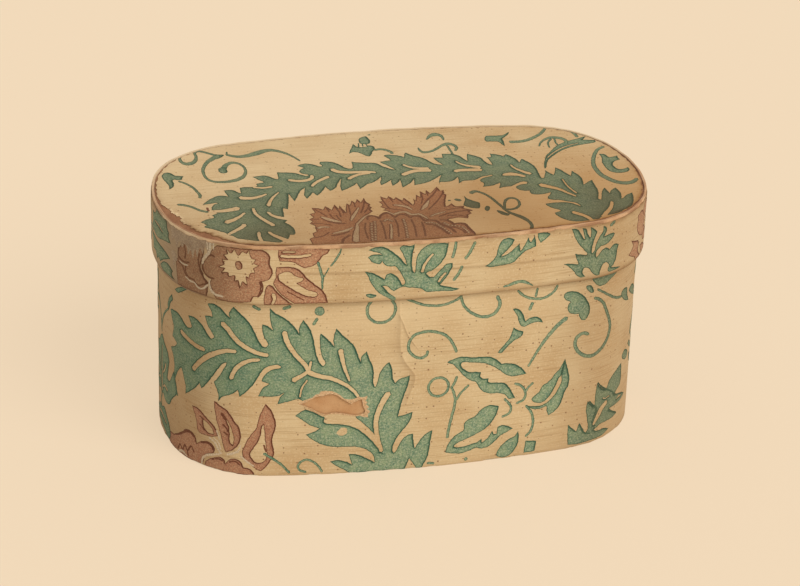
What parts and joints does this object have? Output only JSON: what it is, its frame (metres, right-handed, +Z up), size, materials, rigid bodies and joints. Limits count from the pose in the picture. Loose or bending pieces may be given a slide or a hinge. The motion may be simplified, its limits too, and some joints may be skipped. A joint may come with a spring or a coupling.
{
  "type": "bandbox",
  "caption": "Oval pasteboard bandbox covered in block-printed wallpaper, with a deep lid that slides down over the wall and lifts off.",
  "frame": {"origin": "middle of the underside, on the surface that the box stands on", "axes": "+X along the box's length, -Y out of the front that the picture shows, +Z up, along which the lid lifts off"},
  "size_m": [0.3398, 0.1898, 0.1722],
  "materials": {
    "pasteboard": "matte",
    "wallpaper": "matte",
    "plain_paper": "matte",
    "linen_thread": "matte"
  },
  "bodies": {
    "box": {"body_wall": "pasteboard", "body_wall_thread": "linen_thread", "bottom_board": "pasteboard", "body_cover": "wallpaper", "bottom_cover": "plain_paper", "wall_lining": "plain_paper", "floor_lining": "plain_paper"},
    "lid": {"lid_rim": "pasteboard", "lid_rim_thread": "linen_thread", "lid_top_board": "pasteboard", "lid_rim_cover": "wallpaper", "lid_top_cover": "wallpaper", "lid_rim_lining": "plain_paper", "lid_top_lining": "plain_paper"}
  },
  "joints": [
    {"name": "lid_lift", "type": "slide", "parent": "box", "child": "lid", "axis": [0, 0, 1], "range_m": [0, 0.1]}
  ]
}
